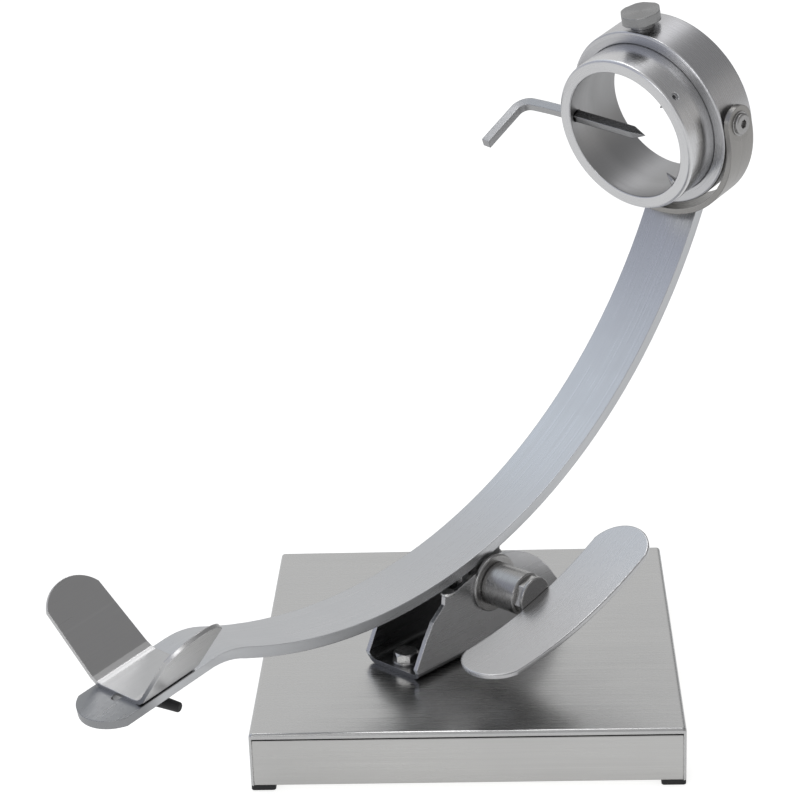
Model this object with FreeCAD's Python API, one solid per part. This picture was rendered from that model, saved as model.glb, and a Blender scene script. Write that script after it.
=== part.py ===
import FreeCAD, Part
import os
from math import acos, atan2, cos, radians, sin, sqrt
from FreeCAD import Matrix, Placement, Rotation, Vector

# Ham holder stand: square folded-sheet base, diagonal U-bracket, curved flat-bar
# arm with a clamped tilt pivot, a fork that carries a tilting outer ring with a
# turning spiked inner ring, and a winged saddle that slides on the arm's tail.
# Millimetres.  Row frame: +Z up, X along the front edge of the base, Y towards
# the back, origin on the floor under the centre of the base.

# ---------------------------------------------------------- shared dimensions
BASE_SIDE = 300.0
SHELL_HEIGHT = 40.0
SHEET = 2.0              # base sheet thickness
FOOT_HEIGHT = 4.0        # below the shell
BASE_HALF = BASE_SIDE / 2
SHELL_BOTTOM = FOOT_HEIGHT
SHELL_TOP = FOOT_HEIGHT + SHELL_HEIGHT
FOOT_SCREW_X = BASE_HALF - 9.0
FOOT_SCREW_Y = BASE_HALF - 13.0
FOOT_HOLE_R = 2.2

ARM_AZIMUTH = 42.0       # arm direction, degrees from +Y towards +X
ARM_WIDTH = 47.0
ARM_THICK = 8.0
ARM_RADIUS = 389.7       # upper (concave) face of the arc
ARC_CENTRE = Vector(-105.2, 0, 454.8)    # arm frame
TAIL_THICK = 6.0         # the bar is drawn down to this at the tail
TAIL_SLOPE = 9.5         # down away from the base, degrees
TAIL_ORIGIN = Vector(-340.6, 0, 78.9)    # on the tail's top face, arm frame

BRACKET_WIDTH = 51.0     # outside
BRACKET_HALF = BRACKET_WIDTH / 2
BRACKET_THICK = 3.5
BOLT_XS = (-66.0, 66.0)  # bracket bolts, arm frame
BOLT_R = 5.0
BOLT_HOLE_R = 5.3
BOLT_WASHER = 2.0
STIFFENER_THICK = 6.0
STIFFENER_BOTTOM = -SHEET - STIFFENER_THICK

PIVOT_X, PIVOT_Z = 0.0, 50.0             # arm tilt pivot, arm frame
PIVOT_SCREW_R = 6.0
PIVOT_HOLE_R = PIVOT_SCREW_R + 0.1
RUN = 0.05               # running clearance, radial
PIVOT_BORE_R = PIVOT_SCREW_R + RUN

RING_AXIS_X, RING_AXIS_Z = 221.2, 352.7  # ring tilt axis, arm frame
RING_DIP = 14.6          # the ring's front looks down by this angle, degrees
RING_DROP = 3.0          # ring centre below the tilt axis
OUTER_BORE_R, OUTER_R = 61.08, 70.5
FORK_INNER = 72.3        # half distance between the fork's ears
FORK_THICK = 4.5
FORK_OUTER = FORK_INNER + FORK_THICK
FORK_DROP = 6.0          # fork arc centre below the tilt axis
EAR_SCREW_R = 4.0
EAR_SCREW_HOLE_R = EAR_SCREW_R + 0.02

SIDES = (-1, 1)
CORNERS = [(side_x, side_y) for side_x in SIDES for side_y in SIDES]
TOL = 1e-6               # for picking edges by their bounds


# --------------------------------------------------------------------- frames
# Arm frame: x = in the arm's plane towards the ring, y = away from the lever,
# z = up from the base's top face.
ROW_FRAME = Placement()
ARM_FRAME = Placement(Vector(0, 0, SHELL_TOP), Rotation(Vector(0, 0, 1), 90.0 - ARM_AZIMUTH))

# Ring frame: x = towards the lever side, y = up across the ring, z = along the
# ring axis towards the tail (the ring's front), origin on the ring tilt axis.
DIP_COS, DIP_SIN = cos(radians(RING_DIP)), sin(radians(RING_DIP))
RING_IN_ARM = Placement(Matrix(0, -DIP_SIN, -DIP_COS, RING_AXIS_X,
                               -1, 0, 0, 0,
                               0, DIP_COS, -DIP_SIN, RING_AXIS_Z,
                               0, 0, 0, 1))
RING_FRAME = ARM_FRAME.multiply(RING_IN_ARM)

# Tail frame: x = along the tail away from the base, y = towards the lever side,
# z = out of the tail's top face.
SLOPE_COS, SLOPE_SIN = cos(radians(TAIL_SLOPE)), sin(radians(TAIL_SLOPE))
TAIL_IN_ARM = Placement(Matrix(-SLOPE_COS, 0, -SLOPE_SIN, TAIL_ORIGIN.x,
                               0, -1, 0, 0,
                               -SLOPE_SIN, 0, SLOPE_COS, TAIL_ORIGIN.z,
                               0, 0, 0, 1))
TAIL_FRAME = ARM_FRAME.multiply(TAIL_IN_ARM)


# -------------------------------------------------------------------- helpers
def placed(shape, frame):
    shape = shape.copy()
    shape.Placement = frame.multiply(shape.Placement)
    return shape


def box(x0, x1, y0, y1, z0, z1):
    """Box between limits; the x pair and the y pair may come in either order."""
    x0, x1 = sorted((x0, x1))
    y0, y1 = sorted((y0, y1))
    return Part.makeBox(x1 - x0, y1 - y0, z1 - z0, Vector(x0, y0, z0))


def cyl(radius, start, end):
    start = Vector(*start)
    axis = Vector(*end) - start
    return Part.makeCylinder(radius, axis.Length, start, axis)


def cone(start_radius, end_radius, start, end):
    start = Vector(*start)
    axis = Vector(*end) - start
    return Part.makeCone(start_radius, end_radius, axis.Length, start, axis)


def tube(outer_radius, bore_radius, start, end):
    return cyl(outer_radius, start, end).cut(cyl(bore_radius, start, end))


def line(start, end):
    return Part.LineSegment(start, end).toShape()


def arc(start, middle, end):
    return Part.Arc(start, middle, end).toShape()


def polygon(points):
    points = [Vector(*point) for point in points]
    return Part.Face(Part.makePolygon(points + [points[0]]))


def hex_prism(flats, start, axis, length, turn=0.0):
    """Regular hexagon, given across flats, extruded along axis from start."""
    radius = flats / sqrt(3.0)
    angles = [radians(60 * i + turn) for i in range(6)]
    face = polygon([(radius * cos(a), radius * sin(a), 0) for a in angles])
    prism = face.extrude(Vector(0, 0, length))
    prism.Placement = Placement(Vector(*start), Rotation(Vector(0, 0, 1), Vector(*axis)))
    return prism


def hex_head(flats, thick, start, axis):
    """Bolt head with its corners turned down by a 45 degree cone."""
    head = hex_prism(flats, start, axis, thick)
    axis = Vector(*axis)
    base_radius = flats / sqrt(3.0) + 1.7 * thick
    top_radius = flats * 0.48
    height = base_radius - top_radius
    turned = Part.makeCone(base_radius, top_radius, height, Vector(0, 0, 0), Vector(0, 0, 1))
    turned.Placement = Placement(Vector(*start) + axis * (thick - height),
                                 Rotation(Vector(0, 0, 1), axis))
    return head.common(turned)


def edges_where(shape, test):
    """Edges whose bounding box passes the test."""
    return [edge for edge in shape.Edges if test(edge.BoundBox)]


def try_finish(shape, operation, size, edges):
    # Guards the kernel's fillets and chamfers: where one fails, or leaves an
    # invalid shape, the edges stay sharp.
    if not edges:
        return shape
    try:
        finished = operation(size, edges)
        if finished.isValid() and finished.Volume > 0:
            return finished
    except Exception:
        pass
    return shape


def fillet(shape, radius, edges):
    return try_finish(shape, shape.makeFillet, radius, edges)


def chamfer(shape, size, edges):
    return try_finish(shape, shape.makeChamfer, size, edges)


def largest(shape):
    return max(shape.Solids, key=lambda solid: solid.Volume)


def at_pivot(y):
    """Point on the arm's pivot axis, arm frame."""
    return (PIVOT_X, y, PIVOT_Z)


# ------------------------------------------------- base shell and panels (row)
LIP_HEIGHT = 4.0         # down-turned lip on the front and rear edges
PANEL_GAP = 1.3          # between the lip and the panel
RETURN_WIDTH = 15.0      # inward return under the side flanges
INSIDE = BASE_HALF - SHEET


def base_shell():
    outer = box(-BASE_HALF, BASE_HALF, -BASE_HALF, BASE_HALF, SHELL_BOTTOM, SHELL_TOP)
    outer = fillet(outer, 3.0, edges_where(
        outer, lambda b: abs(b.ZMin - SHELL_TOP) < TOL and b.YLength > 100))
    outer = fillet(outer, 2.2, edges_where(
        outer, lambda b: b.XLength > 200 and b.ZMax > SHELL_TOP - TOL
        and abs(abs(b.YMin) - BASE_HALF) < TOL and abs(abs(b.YMax) - BASE_HALF) < TOL))
    inner = box(-INSIDE, INSIDE, -BASE_HALF - 1, BASE_HALF + 1,
                SHELL_BOTTOM - 1, SHELL_TOP - SHEET)
    inner = fillet(inner, 1.0, edges_where(
        inner, lambda b: b.ZMin > SHELL_TOP - SHEET - TOL and b.YLength > 100))
    shell = outer.cut(inner)
    for side in SIDES:
        lip = box(-INSIDE - 0.5, INSIDE + 0.5, side * BASE_HALF, side * INSIDE,
                  SHELL_TOP - LIP_HEIGHT, SHELL_TOP - SHEET + 0.5)
        shell = shell.fuse(lip.common(outer))
    for side in SIDES:
        side_return = box(side * (INSIDE + 0.5), side * (INSIDE - RETURN_WIDTH),
                          -BASE_HALF + 5, BASE_HALF - 5, SHELL_BOTTOM, SHELL_BOTTOM + SHEET)
        shell = shell.fuse(side_return.common(outer))
    holes = []
    for side_x, side_y in CORNERS:
        x, y = side_x * FOOT_SCREW_X, side_y * FOOT_SCREW_Y
        holes.append(cyl(FOOT_HOLE_R, (x, y, SHELL_BOTTOM - 1), (x, y, SHELL_BOTTOM + SHEET + 1)))
    for bolt_x in BOLT_XS:
        holes.append(cyl(BOLT_HOLE_R, ARM_FRAME.multVec(Vector(bolt_x, 0, -8)),
                         ARM_FRAME.multVec(Vector(bolt_x, 0, 1))))
    return shell.cut(Part.makeCompound(holes)).removeSplitter()


def front_panel():
    top = SHELL_TOP - LIP_HEIGHT - PANEL_GAP
    face_y = -(BASE_HALF - 0.6)
    half_width = INSIDE - 0.15
    panel = box(-half_width, half_width, face_y, face_y + SHEET, SHELL_BOTTOM, top)
    # bottom and top returns, clear of the shell's side returns
    half_return = INSIDE - RETURN_WIDTH - 0.6
    for depth, z in ((14, SHELL_BOTTOM), (11, top - SHEET)):
        panel = panel.fuse(box(-half_return, half_return, face_y, face_y + depth, z, z + SHEET))
    # side tabs that lie against the side flanges
    tab_x = INSIDE - 0.02
    for side in SIDES:
        panel = panel.fuse(box(side * tab_x, side * (tab_x - SHEET), face_y, face_y + 13,
                               SHELL_BOTTOM + SHEET + 1.5, top - 3))
    panel = panel.removeSplitter()
    return fillet(panel, 0.8, edges_where(
        panel, lambda b: b.XLength > 200
        and abs(b.YMin - face_y) < TOL and abs(b.YMax - face_y) < TOL))


def rear_panel():
    return front_panel().mirror(Vector(0, 0, 0), Vector(0, 1, 0))


# ------------------------------------------------------------------ feet (row)
FOOT_WIDTH = 17.0        # along X
FOOT_LENGTH = 24.0       # along Y
FOOT_POCKET = 2.4        # depth of the screw head's pocket
FOOT_SCREW_R = 2.0


def corner_feet():
    feet = []
    for side_x, side_y in CORNERS:
        outer_x, outer_y = BASE_HALF - 0.1, BASE_HALF - 0.7
        foot = box(side_x * outer_x, side_x * (outer_x - FOOT_WIDTH),
                   side_y * outer_y, side_y * (outer_y - FOOT_LENGTH), 0, FOOT_HEIGHT)
        foot = fillet(foot, 2.0, edges_where(foot, lambda b: b.ZLength > 2))
        foot = chamfer(foot, 0.5, edges_where(foot, lambda b: b.ZMax < TOL))
        x, y = side_x * FOOT_SCREW_X, side_y * FOOT_SCREW_Y
        foot = foot.cut(cyl(FOOT_HOLE_R, (x, y, -1), (x, y, FOOT_HEIGHT + 1)))
        feet.append(foot.cut(cyl(4.6, (x, y, -1), (x, y, FOOT_POCKET))))
    return Part.makeCompound(feet)


def foot_screws():
    screws = []
    for side_x, side_y in CORNERS:
        x, y = side_x * FOOT_SCREW_X, side_y * FOOT_SCREW_Y
        screw = cyl(4.0, (x, y, 0.7), (x, y, FOOT_POCKET))
        screw = screw.fuse(cyl(FOOT_SCREW_R, (x, y, 2.0), (x, y, SHELL_BOTTOM + SHEET + 4.4)))
        driver_slot = box(x - 3, x + 3, y - 0.5, y + 0.5, 0, 1.5)
        screws.append(screw.cut(driver_slot).removeSplitter())
    return Part.makeCompound(screws)


def foot_nuts():
    nuts = []
    for side_x, side_y in CORNERS:
        x, y = side_x * FOOT_SCREW_X, side_y * FOOT_SCREW_Y
        nut = hex_prism(7.0, (x, y, SHELL_BOTTOM + SHEET), (0, 0, 1), 3.2)
        nuts.append(nut.cut(cyl(FOOT_SCREW_R + 0.02, (x, y, SHELL_BOTTOM),
                                (x, y, SHELL_BOTTOM + 20))))
    return Part.makeCompound(nuts)


# -------------------------------------------- stiffener and bracket bolts (arm)
BOLT_FLATS = 17.0
BOLT_WASHER_R = 10.0
BOLT_NUT = 8.0           # nut thickness


def base_stiffener():
    plate = box(-95, 95, -45, 45, STIFFENER_BOTTOM, -SHEET)
    plate = fillet(plate, 12, edges_where(plate, lambda b: b.ZLength > 5))
    for x in BOLT_XS:
        plate = plate.cut(cyl(BOLT_HOLE_R, (x, 0, -20), (x, 0, 5)))
    return plate


def bracket_bolts():
    seat = BRACKET_THICK + BOLT_WASHER
    bolts = []
    for x in BOLT_XS:
        bolt = hex_head(BOLT_FLATS, 6.4, (x, 0, seat), (0, 0, 1))
        bolts.append(bolt.fuse(cyl(BOLT_R, (x, 0, -20.5), (x, 0, seat + 0.5))).removeSplitter())
    return Part.makeCompound(bolts)


def bracket_washers():
    """Washers on the bracket's floor and under the stiffener."""
    return Part.makeCompound([
        tube(BOLT_WASHER_R, BOLT_HOLE_R, (x, 0, z), (x, 0, z + BOLT_WASHER))
        for z in (BRACKET_THICK, STIFFENER_BOTTOM - BOLT_WASHER) for x in BOLT_XS])


def bracket_nuts():
    bottom = STIFFENER_BOTTOM - BOLT_WASHER - BOLT_NUT
    return Part.makeCompound([
        hex_prism(BOLT_FLATS, (x, 0, bottom), (0, 0, 1), BOLT_NUT).cut(
            cyl(BOLT_R + 0.02, (x, 0, -30), (x, 0, 0)))
        for x in BOLT_XS])


# --------------------------------------------------------------- bracket (arm)
BRACKET_LENGTH = 79.0    # half length at the floor
BRACKET_BEND = 7.0       # outer bend radius
# side view of the bracket: x, z
BRACKET_OUTLINE = [
    (-78.5, -1), (-79, 4), (-81.5, 9.5), (-71, 28.5), (-63, 40.5), (-56, 46.0),
    (-51, 50.0), (-50.2, 56.0), (-40, 56.0), (-30, 59.0), (-20, 61.7), (-10, 64.3),
    (0, 66.6), (10, 68.0), (18, 67.6), (27, 65.0), (38, 60.0), (50, 52.0),
    (61, 41.0), (70, 29.0), (80, 9.5), (79, 4), (78.5, -1),
]


def bracket():
    outer_end = BRACKET_LENGTH + 8
    outer = box(-outer_end, outer_end, -BRACKET_HALF, BRACKET_HALF, 0, 80)
    outer = fillet(outer, BRACKET_BEND, edges_where(
        outer, lambda b: b.XLength > 100 and b.ZMax < TOL))
    inner_end = BRACKET_LENGTH + 9
    inner_half = BRACKET_HALF - BRACKET_THICK
    inner = box(-inner_end, inner_end, -inner_half, inner_half, BRACKET_THICK, 90)
    inner = fillet(inner, BRACKET_BEND - BRACKET_THICK, edges_where(
        inner, lambda b: b.XLength > 100 and b.ZMax < BRACKET_THICK + TOL))
    channel = outer.cut(inner)
    beyond = BRACKET_HALF + 1
    side_view = polygon([(x, -beyond, z) for x, z in BRACKET_OUTLINE])
    body = channel.common(side_view.extrude(Vector(0, 2 * beyond, 0)))
    holes = [cyl(PIVOT_HOLE_R, at_pivot(-beyond), at_pivot(beyond))]
    for x in BOLT_XS:
        holes.append(cyl(BOLT_HOLE_R, (x, 0, -1), (x, 0, BRACKET_THICK + 1)))
    return body.cut(Part.makeCompound(holes)).removeSplitter()


def tilt_stop_pads():
    """Round pads on the bracket's two top corners on the tail side."""
    pads = []
    for side in SIDES:
        x, y = -45.3, side * (BRACKET_HALF - 2.2)
        pad = cyl(5.1, (x, y, 56.0), (x, y, 58.0))
        pads.append(fillet(pad, 0.7, edges_where(pad, lambda b: b.ZMin > 57.9)))
    return Part.makeCompound(pads)


# ----------------------------------------------- tilt clamp and its lever (arm)
TILT_WASHER = 2.5
CLAMP_DISC = 3.0         # disc thickness
HUB_FACE = -58.9         # y of the hub's outer face
LOCK_NUT_FACE = HUB_FACE - 5.0
END_WASHER_FACE = LOCK_NUT_FACE - 3.0

PLATE_Y = 91.0           # plate centre, distance from the arm plane
PLATE_HALF_WIDTH = 24.0
PLATE_HALF_LENGTH = 72.5  # straight part
PLATE_CAP = 19.2         # height of the arc at each end
PLATE_THICK = 4.0
BOW_RADIUS = 364.0
BOW_HALF_ANGLE = 0.27    # radians, past the plate's ends
LEVER_TILT = radians(15.2)               # at rest, above horizontal
PLATE_ALONG = Vector(cos(LEVER_TILT), 0, sin(LEVER_TILT))
PLATE_NORMAL = Vector(-sin(LEVER_TILT), 0, cos(LEVER_TILT))
PLATE_CENTRE = Vector(-2.9, 0, 49.0)
BOW_CENTRE = PLATE_CENTRE + PLATE_NORMAL * BOW_RADIUS
OUTWARD = Vector(0, -1, 0)               # towards the lever side


def tilt_screw():
    seat = BRACKET_HALF + TILT_WASHER
    screw = hex_head(19.0, 7.5, at_pivot(seat), (0, 1, 0))
    shank = cyl(PIVOT_SCREW_R, at_pivot(seat + 0.5), at_pivot(-63.5))
    return screw.fuse(shank).removeSplitter()


def tilt_screw_washer():
    return tube(12.0, PIVOT_HOLE_R, at_pivot(BRACKET_HALF), at_pivot(BRACKET_HALF + TILT_WASHER))


def clamp_disc():
    face_y = -BRACKET_HALF - CLAMP_DISC
    disc = tube(21.5, PIVOT_HOLE_R, at_pivot(-BRACKET_HALF), at_pivot(face_y))
    return chamfer(disc, 0.8, edges_where(
        disc, lambda b: abs(b.YMin - face_y) < TOL and b.XLength > 30))


def lever_hub():
    hub = tube(16.0, PIVOT_BORE_R, at_pivot(-BRACKET_HALF - CLAMP_DISC - 0.05), at_pivot(HUB_FACE))
    return chamfer(hub, 1.0, edges_where(hub, lambda b: b.XLength > 26))


def lever_lock_nut():
    nut = hex_prism(25.0, at_pivot(HUB_FACE), (0, -1, 0), HUB_FACE - LOCK_NUT_FACE, 12.0)
    return nut.cut(cyl(PIVOT_BORE_R, at_pivot(-50), at_pivot(-70)))


def lever_end_washer():
    washer = cyl(15.0, at_pivot(LOCK_NUT_FACE), at_pivot(END_WASHER_FACE))
    return chamfer(washer, 0.6, washer.Edges)


def bow_point(radius, angle):
    return (BOW_CENTRE + PLATE_ALONG * (radius * sin(angle))
            - PLATE_NORMAL * (radius * cos(angle)))


def plate_corner(along, across):
    """Point of the plate's outline, 15 below the plate centre along its normal."""
    return (PLATE_CENTRE + PLATE_ALONG * along + OUTWARD * (PLATE_Y + across)
            - PLATE_NORMAL * 15)


def lever_plate():
    """Bowed strip trimmed to an outline with rounded ends."""
    top, under, end = BOW_RADIUS, BOW_RADIUS + PLATE_THICK, BOW_HALF_ANGLE
    section = Part.Wire([
        arc(bow_point(top, -end), bow_point(top, 0), bow_point(top, end)),
        line(bow_point(top, end), bow_point(under, end)),
        arc(bow_point(under, end), bow_point(under, 0), bow_point(under, -end)),
        line(bow_point(under, -end), bow_point(top, -end)),
    ])
    strip = Part.Face(section).extrude(Vector(0, -2 * PLATE_HALF_WIDTH, 0))
    strip.translate(Vector(0, -PLATE_Y + PLATE_HALF_WIDTH, 0))
    length, width = PLATE_HALF_LENGTH, PLATE_HALF_WIDTH
    outline = []
    for side in (1, -1):
        start = plate_corner(-side * length, -side * width)
        straight_end = plate_corner(side * length, -side * width)
        outline.append(line(start, straight_end))
        outline.append(arc(straight_end, plate_corner(side * (length + PLATE_CAP), 0),
                           plate_corner(side * length, side * width)))
    plate = strip.common(Part.Face(Part.Wire(outline)).extrude(PLATE_NORMAL * 45))
    return fillet(plate, 0.9, [edge for edge in plate.Edges if edge.Length > 30])


def lever_boss():
    """Lower part of a round boss, under the plate and against the end washer."""
    boss = cyl(13.5, at_pivot(END_WASHER_FACE), at_pivot(-98.0))
    boss = boss.cut(Part.makeCylinder(BOW_RADIUS + PLATE_THICK, 60,
                                      BOW_CENTRE + OUTWARD * 50, OUTWARD))
    boss = boss.cut(box(-30, 30, -120, -50, PIVOT_Z - 4.0, PIVOT_Z + 40))
    return boss.removeSplitter()


# ------------------------------------------------------------------- arm (arm)
ARM_END = radians(66.0)  # arc angle at the fork before trimming
TAIL_TIP = 16.3          # the rounded end stands this far past the tail origin
TAIL_END_R = 26.7
TAIL_BEND = 58.0         # bend radius between arc and tail, centreline
SLOT_WIDTH = 6.6
SLOT_START, SLOT_END = -66.0, -10.0      # end centres along the tail

HALF_THICK = ARM_THICK / 2
ARM_UNDER_R = ARM_RADIUS + ARM_THICK
BEND_CENTRE_R = ARM_RADIUS + HALF_THICK + TAIL_BEND  # from the arc's centre
TAIL_NORMAL = Vector(-SLOPE_SIN, 0, SLOPE_COS)
TAIL_ALONG = Vector(-SLOPE_COS, 0, -SLOPE_SIN)
TAIL_CENTRELINE = TAIL_ORIGIN - TAIL_NORMAL * HALF_THICK
# arc angle where the tail bend starts: the bend is tangent to arc and tail
BEND_START = radians(TAIL_SLOPE) - acos(
    (ARC_CENTRE.dot(TAIL_NORMAL) - TAIL_CENTRELINE.dot(TAIL_NORMAL) + TAIL_BEND)
    / BEND_CENTRE_R)


def arc_point(radius, angle):
    """Point about the arm's arc centre, angle from straight down."""
    return ARC_CENTRE + Vector(radius * sin(angle), 0, -radius * cos(angle))


def bend_point(radius, fraction):
    """Point about the bend centre, from 0 at the arc to 1 at the tail."""
    arc_side = atan2(cos(BEND_START), -sin(BEND_START))
    tail_side = atan2(SLOPE_COS, -SLOPE_SIN)
    angle = arc_side + (tail_side - arc_side) * fraction
    return (arc_point(BEND_CENTRE_R, BEND_START)
            + Vector(radius * cos(angle), 0, radius * sin(angle)))


def tail_end_point(offset):
    """Point on the tail's square end, offset from the bar's centreline."""
    return TAIL_CENTRELINE + TAIL_NORMAL * offset + TAIL_ALONG * (TAIL_TIP + 2.0)


def arm_bar():
    arc_middle = (ARM_END + BEND_START) / 2
    top_bend = TAIL_BEND + HALF_THICK
    under_bend = top_bend - TAIL_THICK
    under_bend_middle = top_bend - (ARM_THICK + TAIL_THICK) / 2
    top_end, under_end = arc_point(ARM_RADIUS, ARM_END), arc_point(ARM_UNDER_R, ARM_END)
    top_join = arc_point(ARM_RADIUS, BEND_START)
    under_join = arc_point(ARM_UNDER_R, BEND_START)
    tail_top, tail_under = tail_end_point(HALF_THICK), tail_end_point(HALF_THICK - TAIL_THICK)
    side_view = Part.Wire([
        arc(top_end, arc_point(ARM_RADIUS, arc_middle), top_join),
        arc(top_join, bend_point(top_bend, 0.5), bend_point(top_bend, 1.0)),
        line(bend_point(top_bend, 1.0), tail_top),
        line(tail_top, tail_under),
        line(tail_under, bend_point(under_bend, 1.0)),
        arc(bend_point(under_bend, 1.0), bend_point(under_bend_middle, 0.5), under_join),
        arc(under_join, arc_point(ARM_UNDER_R, arc_middle), under_end),
        line(under_end, top_end),
    ])
    arm = Part.Face(side_view).extrude(Vector(0, ARM_WIDTH, 0))
    arm.translate(Vector(0, -ARM_WIDTH / 2, 0))
    # rounded tail end
    keep = Part.makeCylinder(TAIL_END_R, 60, Vector(TAIL_TIP - TAIL_END_R, 0, -30),
                             Vector(0, 0, 1))
    arm = arm.cut(placed(box(1.0, 60, -40, 40, -30, 30).cut(keep), TAIL_IN_ARM))
    # slot for the saddle stud
    slot = box(SLOT_START, SLOT_END, -SLOT_WIDTH / 2, SLOT_WIDTH / 2, -30, 30)
    for x in (SLOT_END, SLOT_START):
        slot = slot.fuse(Part.makeCylinder(SLOT_WIDTH / 2, 60, Vector(x, 0, -30)))
    arm = arm.cut(placed(slot, TAIL_IN_ARM))
    # trim the top end to the outside of the fork
    fork_outside = Part.makeCylinder(FORK_OUTER, 80, Vector(0, -FORK_DROP, -40))
    fork_outside = fork_outside.fuse(box(-FORK_OUTER, FORK_OUTER, -FORK_DROP, 60, -40, 40))
    arm = arm.cut(placed(fork_outside, RING_IN_ARM))
    return largest(arm).removeSplitter()


LUG_R = 15.0             # sleeve under the arm


def pivot_sleeve():
    half_length = BRACKET_HALF - BRACKET_THICK - 0.1
    sleeve = tube(LUG_R, PIVOT_BORE_R, at_pivot(-half_length), at_pivot(half_length))
    return chamfer(sleeve, 0.8, edges_where(sleeve, lambda b: b.XLength > 29))


def lug_plates():
    """Two cheek plates between the sleeve and the arm's underside."""
    arm_curve = Part.makeCylinder(ARM_UNDER_R, 200, ARC_CENTRE - Vector(0, 100, 0),
                                  Vector(0, 1, 0))
    # x, z
    outline = [(-LUG_R, PIVOT_Z + 0.5), (-22.0, 80.0), (18.0, 90.0), (LUG_R, PIVOT_Z + 0.5)]
    cheeks = []
    for y in (-18.0, 10.0):
        cheek = polygon([(x, y, z) for x, z in outline]).extrude(Vector(0, 8.0, 0))
        cheek = cheek.cut(arm_curve)
        cheeks.append(largest(cheek.cut(cyl(LUG_R, at_pivot(-60), at_pivot(60)))))
    return Part.makeCompound(cheeks)


# -------------------------------------------------- fork and outer ring (ring)
FORK_HALF_WIDTH = 27.0 / 2
OUTER_FRONT, OUTER_BACK = 12.5, -22.5    # z of the outer ring's faces
OUTER_TOP = OUTER_R - RING_DROP          # y of the outer ring's highest line
LOCK_BOLT_R = 5.0
LOCK_HOLE_R = LOCK_BOLT_R + 0.05
LOCK_HEAD_Y = OUTER_TOP + 4.6            # underside of the lock bolt's head
LOCK_HEAD = 7.2                          # head thickness


def ring_cyl(radius, length, z):
    """Cylinder about the rings' common axis, from z."""
    return Part.makeCylinder(radius, length, Vector(0, -RING_DROP, z))


def fork():
    outer, inner, half = FORK_OUTER, FORK_INNER, FORK_HALF_WIDTH
    band = Part.makeCylinder(outer, 2 * half, Vector(0, -FORK_DROP, -half))
    band = band.cut(Part.makeCylinder(inner, 2 * half + 2, Vector(0, -FORK_DROP, -half - 1)))
    band = band.cut(box(-outer - 1, outer + 1, -FORK_DROP, outer + 10, -half - 1, half + 1))
    for side in SIDES:
        ear = box(side * inner, side * outer, -FORK_DROP, 0, -half, half)
        ear_x = min(side * inner, side * outer)
        ear = ear.fuse(Part.makeCylinder(half, FORK_THICK, Vector(ear_x, 0, 0),
                                         Vector(1, 0, 0)))
        band = band.fuse(ear)
    band = band.removeSplitter()
    return band.cut(cyl(EAR_SCREW_R + RUN, (-outer - 1, 0, 0), (outer + 1, 0, 0)))


def outer_ring():
    length = OUTER_FRONT - OUTER_BACK
    ring = ring_cyl(OUTER_R, length, OUTER_BACK)
    ring = ring.cut(ring_cyl(OUTER_BORE_R, length + 2, OUTER_BACK - 1))
    ring = fillet(ring, 1.6, edges_where(ring, lambda b: b.XLength > 2 * OUTER_R - 1))
    ring = chamfer(ring, 0.6, edges_where(
        ring, lambda b: abs(b.XLength - 2 * OUTER_BORE_R) < 1 and b.ZLength < 0.1))
    for side in SIDES:
        ring = ring.cut(cyl(EAR_SCREW_HOLE_R, (side * 80, 0, 0), (side * 50, 0, 0)))
    return ring.cut(cyl(LOCK_HOLE_R, (0, 50, 0), (0, 90, 0)))


def ring_pivot_spacers():
    return Part.makeCompound([
        tube(7.5, EAR_SCREW_HOLE_R, (side * (OUTER_R + 0.02), 0, 0),
             (side * (FORK_INNER - 0.08), 0, 0))
        for side in SIDES])


def ring_pivot_screws():
    head_face = FORK_OUTER + 3.4
    screws = []
    for side in SIDES:
        screw = cyl(EAR_SCREW_R, (side * 62.5, 0, 0), (side * (FORK_OUTER + 1.3), 0, 0))
        head = cyl(7.8, (side * (FORK_OUTER + 0.85), 0, 0), (side * head_face, 0, 0))
        head = fillet(head, 1.6, edges_where(
            head, lambda b: abs(abs(b.XMin) - head_face) < TOL and b.XLength < TOL))
        screw = screw.fuse(head)
        socket = hex_prism(6.0, (side * (FORK_OUTER + 4.0), 0, 0), (-side, 0, 0), 4.2)
        screws.append(screw.cut(socket).removeSplitter())
    return Part.makeCompound(screws)


def ring_pivot_washers():
    return Part.makeCompound([
        tube(9.2, EAR_SCREW_R + RUN, (side * (FORK_OUTER + 0.03), 0, 0),
             (side * (FORK_OUTER + 0.83), 0, 0))
        for side in SIDES])


def lock_bolt_boss():
    boss = tube(9.0, LOCK_HOLE_R, (0, OUTER_TOP - 1.6, 0), (0, OUTER_TOP + 2.6, 0))
    return largest(boss.cut(ring_cyl(OUTER_R, 60, -30)))


def ring_lock_bolt():
    head = Part.makeCylinder(15.0, LOCK_HEAD, Vector(0, LOCK_HEAD_Y, 0), Vector(0, 1, 0))
    head = head.common(hex_prism(28.6, (0, LOCK_HEAD_Y, 0), (0, 1, 0), LOCK_HEAD, 10.0))
    head = chamfer(head, 0.8, edges_where(
        head, lambda b: b.YMin > LOCK_HEAD_Y + LOCK_HEAD - 0.1))
    point_y = 57.2
    bolt = head.fuse(cyl(7.0, (0, LOCK_HEAD_Y - 1.6, 0), (0, LOCK_HEAD_Y + 0.5, 0)))
    bolt = bolt.fuse(cyl(LOCK_BOLT_R, (0, point_y, 0), (0, LOCK_HEAD_Y + 0.5, 0)))
    bolt = bolt.fuse(cone(3.6, LOCK_BOLT_R, (0, point_y - 1.6, 0), (0, point_y, 0)))
    return bolt.removeSplitter()


# -------------------------------------------------- inner ring, spikes (ring)
INNER_BORE_R, INNER_R, INNER_LENGTH = 51.0, 61.0, 55.0
INNER_FRONT = 41.0       # z of the front face
GROOVE_WIDTH, GROOVE_R = 11.2, 57.6
SPIKE_Z = 33.0           # plane of all the spikes
SPIKE_ANGLES = (37.0, -47.0)             # short spikes, from +x towards +y
SPIKE_R = 3.0

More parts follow.
